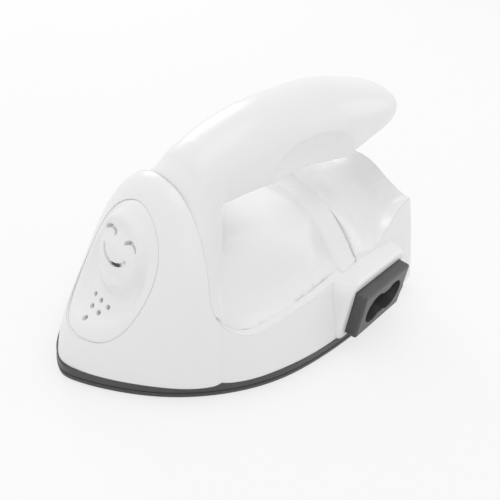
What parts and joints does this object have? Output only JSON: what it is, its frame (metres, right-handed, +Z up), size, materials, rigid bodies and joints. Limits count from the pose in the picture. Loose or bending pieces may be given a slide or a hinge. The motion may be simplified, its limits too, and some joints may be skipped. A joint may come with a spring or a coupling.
{
  "type": "mini heat press",
  "caption": "Palm-sized heat press with a pointed sole plate, an arched nose with an oval panel, a handle that reaches back over the body, and a figure-of-eight mains inlet.",
  "frame": {"origin": "on the ironing face, half way between nose tip and tail, on the centre plane", "axes": "+X towards the tail, +Y away from the mains inlet, +Z up from the ironing face"},
  "size_m": [0.1, 0.0649, 0.0581],
  "materials": {
    "white_shell": "satin gloss",
    "black_ring": "satin",
    "coated_plate": "smooth non-stick coat",
    "grey_socket": "satin",
    "plated_pin": "polished",
    "screw_steel": "zinc plated",
    "sheet_steel": "rolled",
    "shield_sheet": "rolled",
    "ceramic": "fired",
    "mica": "layered sheet",
    "thermostat_body": "moulded",
    "fuse_case": "drawn",
    "clear_guide": "frosted",
    "board": "lacquered",
    "lamp_lens": "clear tinted",
    "component_yellow": "moulded",
    "component_black": "moulded",
    "brown_wire": "insulation",
    "blue_wire": "insulation",
    "red_wire": "insulation",
    "white_wire": "insulation",
    "glass_sleeve": "braided"
  },
  "bodies": {
    "root": {"main_housing": "white_shell", "saddle_handle": "white_shell", "handle_cover": "white_shell", "nose_panel": "white_shell", "insulation_ring": "black_ring", "sole_plate": "coated_plate", "inlet_body": "grey_socket", "inlet_pins": "plated_pin", "ring_screws": "screw_steel", "clamp_screws": "screw_steel", "thermostat_screws": "screw_steel", "shield_screws": "screw_steel", "housing_screws": "screw_steel", "saddle_screws": "screw_steel", "handle_screws": "screw_steel", "indicator_screws": "screw_steel", "inlet_screws": "screw_steel", "board_screws": "screw_steel", "heater_clamp": "sheet_steel", "thermostat_bracket": "sheet_steel", "fuse_clip": "sheet_steel", "inlet_strap": "sheet_steel", "heat_shield": "shield_sheet", "heater": "ceramic", "heater_insulation": "mica", "thermostat": "thermostat_body", "thermal_fuse": "fuse_case", "light_guide": "clear_guide", "indicator_board": "board", "control_board": "board", "indicator_lamps": "lamp_lens", "capacitor": "component_yellow", "triac": "component_black", "live_wire": "brown_wire", "neutral_wire": "blue_wire", "thermostat_wires": "red_wire", "heater_wires": "white_wire", "lamp_wires": "white_wire", "wire_sleeves": "glass_sleeve"}
  },
  "joints": []
}
